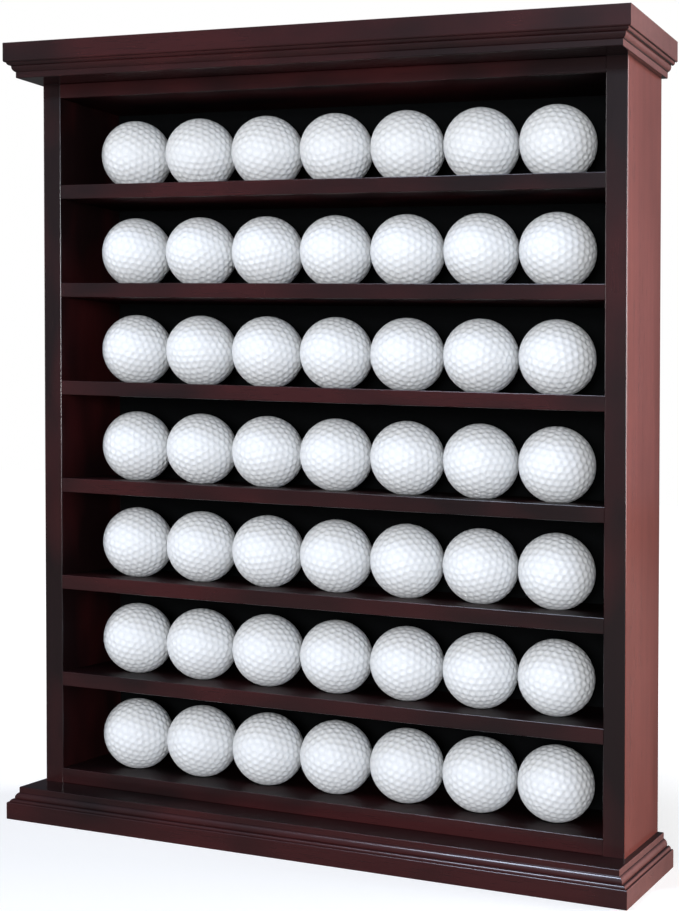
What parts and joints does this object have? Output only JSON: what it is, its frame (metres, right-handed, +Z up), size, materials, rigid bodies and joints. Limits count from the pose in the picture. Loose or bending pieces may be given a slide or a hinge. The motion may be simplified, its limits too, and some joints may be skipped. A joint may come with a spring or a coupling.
{
  "type": "golf ball display case",
  "caption": "Open-fronted wooden display case with routed base and crown boards, a felt-lined back and rows of golf balls in dished seats along its shelves.",
  "frame": {"origin": "middle of the case's footprint, on the surface that it stands on", "axes": "+Z up, the open front faces -Y, +X to the right seen from the front"},
  "size_m": [0.378, 0.0996, 0.4602],
  "materials": {
    "stained_wood": "dark red mahogany stain under satin lacquer",
    "back_board": "painted hardboard",
    "felt": "black felt",
    "screw_steel": "zinc plated",
    "hanger_steel": "zinc plated strip",
    "beech_dowel": "bare beech",
    "ball_cover": "white, glossy, dimpled"
  },
  "bodies": {
    "case": {"base_board": "stained_wood", "crown_board": "stained_wood", "left_side": "stained_wood", "right_side": "stained_wood", "floor_panel": "stained_wood", "top_panel": "stained_wood", "shelf_1": "stained_wood", "shelf_2": "stained_wood", "shelf_3": "stained_wood", "shelf_4": "stained_wood", "shelf_5": "stained_wood", "shelf_6": "stained_wood", "back_panel": "back_board", "felt_lining": "felt", "base_screws": "screw_steel", "back_screws": "screw_steel", "crown_dowels": "beech_dowel", "left_hanger": "hanger_steel", "right_hanger": "hanger_steel", "hanger_nails": "screw_steel"},
    "ball_row_1": {"ball_row_1": "ball_cover"},
    "ball_row_2": {"ball_row_2": "ball_cover"},
    "ball_row_3": {"ball_row_3": "ball_cover"},
    "ball_row_4": {"ball_row_4": "ball_cover"},
    "ball_row_5": {"ball_row_5": "ball_cover"},
    "ball_row_6": {"ball_row_6": "ball_cover"},
    "ball_row_7": {"ball_row_7": "ball_cover"}
  },
  "joints": [
    {"name": "take_out_row_1", "type": "slide", "parent": "case", "child": "ball_row_1", "axis": [0, -0.9781, 0.2079], "range_m": [0, 0.07]},
    {"name": "take_out_row_2", "type": "slide", "parent": "case", "child": "ball_row_2", "axis": [0, -0.9781, 0.2079], "range_m": [0, 0.07]},
    {"name": "take_out_row_3", "type": "slide", "parent": "case", "child": "ball_row_3", "axis": [0, -0.9781, 0.2079], "range_m": [0, 0.07]},
    {"name": "take_out_row_4", "type": "slide", "parent": "case", "child": "ball_row_4", "axis": [0, -0.9781, 0.2079], "range_m": [0, 0.07]},
    {"name": "take_out_row_5", "type": "slide", "parent": "case", "child": "ball_row_5", "axis": [0, -0.9781, 0.2079], "range_m": [0, 0.07]},
    {"name": "take_out_row_6", "type": "slide", "parent": "case", "child": "ball_row_6", "axis": [0, -0.9781, 0.2079], "range_m": [0, 0.07]},
    {"name": "take_out_row_7", "type": "slide", "parent": "case", "child": "ball_row_7", "axis": [0, -0.9781, 0.2079], "range_m": [0, 0.07]}
  ]
}
